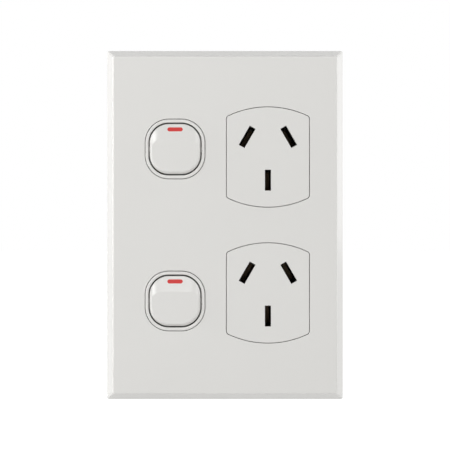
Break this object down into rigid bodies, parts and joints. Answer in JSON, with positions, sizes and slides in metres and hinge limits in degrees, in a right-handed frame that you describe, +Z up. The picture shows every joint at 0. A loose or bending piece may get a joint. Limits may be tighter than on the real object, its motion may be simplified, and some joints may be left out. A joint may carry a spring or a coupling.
{
  "type": "double socket outlet",
  "caption": "Upright switched wall outlet: barrel-shaped flat-pin socket faces beside rounded rocker switches in a clip-on cover, with a frame, contacts and terminal box behind.",
  "frame": {"origin": "middle of the two wall fixing holes, on the wall plane behind the plate", "axes": "+X right across the plate as seen from the room, +Y into the wall, +Z up the plate"},
  "size_m": [0.0786, 0.0344, 0.116],
  "materials": {
    "white_plastic": "semi-gloss white moulding",
    "red_marker": "satin red inlay",
    "grey_plastic": "matt light grey moulding",
    "black_plastic": "matt black moulding",
    "contact_bronze": "stamped spring bronze",
    "contact_silver": "silver contact face",
    "terminal_brass": "machined brass",
    "plated_steel": "zinc plated steel",
    "spring_steel": "drawn spring wire",
    "natural_nylon": "natural nylon"
  },
  "bodies": {
    "housing": {"cover_plate": "white_plastic", "socket_face_upper": "white_plastic", "socket_face_lower": "white_plastic", "switch_body_upper": "white_plastic", "switch_body_lower": "white_plastic", "mounting_frame": "grey_plastic", "rear_housing": "grey_plastic", "contact_block_upper": "black_plastic", "contact_block_lower": "black_plastic", "active_contact_upper": "contact_bronze", "active_contact_lower": "contact_bronze", "neutral_strip": "contact_bronze", "earth_strip": "contact_bronze", "active_busbar": "contact_bronze", "fixed_contacts": "contact_silver", "active_terminal": "terminal_brass", "neutral_terminal": "terminal_brass", "earth_terminal": "terminal_brass", "terminal_screws": "plated_steel", "housing_screws": "plated_steel"},
    "rocker_upper": {"rocker_upper": "white_plastic", "on_marker_upper": "red_marker", "plunger_spring_upper": "spring_steel"},
    "plunger_upper": {"plunger_upper": "natural_nylon"},
    "contact_arm_upper": {"contact_arm_upper": "contact_bronze", "arm_contact_upper": "contact_silver"},
    "rocker_lower": {"rocker_lower": "white_plastic", "on_marker_lower": "red_marker", "plunger_spring_lower": "spring_steel"},
    "plunger_lower": {"plunger_lower": "natural_nylon"},
    "contact_arm_lower": {"contact_arm_lower": "contact_bronze", "arm_contact_lower": "contact_silver"}
  },
  "joints": [
    {"name": "rocker_upper_hinge", "type": "hinge", "parent": "housing", "child": "rocker_upper", "pos_m": [-0.01645, -0.0052, 0.02505], "axis": [1, 0, 0], "range_deg": [0, 10]},
    {"name": "plunger_upper_slide", "type": "slide", "parent": "rocker_upper", "child": "plunger_upper", "axis": [0, -0.9962, 0.0872], "range_m": [0, 0.0008], "stiffness_N_per_m": 20, "springref_m": -0.002, "deforming": ["plunger_spring_upper"]},
    {"name": "contact_arm_upper_hinge", "type": "hinge", "parent": "housing", "child": "contact_arm_upper", "pos_m": [-0.01645, 0.0098, 0.02505], "axis": [1, 0, 0], "range_deg": [-16, 0]},
    {"name": "rocker_lower_hinge", "type": "hinge", "parent": "housing", "child": "rocker_lower", "pos_m": [-0.01645, -0.0052, -0.02505], "axis": [1, 0, 0], "range_deg": [0, 10]},
    {"name": "plunger_lower_slide", "type": "slide", "parent": "rocker_lower", "child": "plunger_lower", "axis": [0, -0.9962, 0.0872], "range_m": [0, 0.0008], "stiffness_N_per_m": 20, "springref_m": -0.002, "deforming": ["plunger_spring_lower"]},
    {"name": "contact_arm_lower_hinge", "type": "hinge", "parent": "housing", "child": "contact_arm_lower", "pos_m": [-0.01645, 0.0098, -0.02505], "axis": [1, 0, 0], "range_deg": [-16, 0]}
  ],
  "couplings": [
    {"joint": "contact_arm_upper_hinge", "follows": "rocker_upper_hinge", "ratio": -1.6},
    {"joint": "contact_arm_lower_hinge", "follows": "rocker_lower_hinge", "ratio": -1.6}
  ]
}
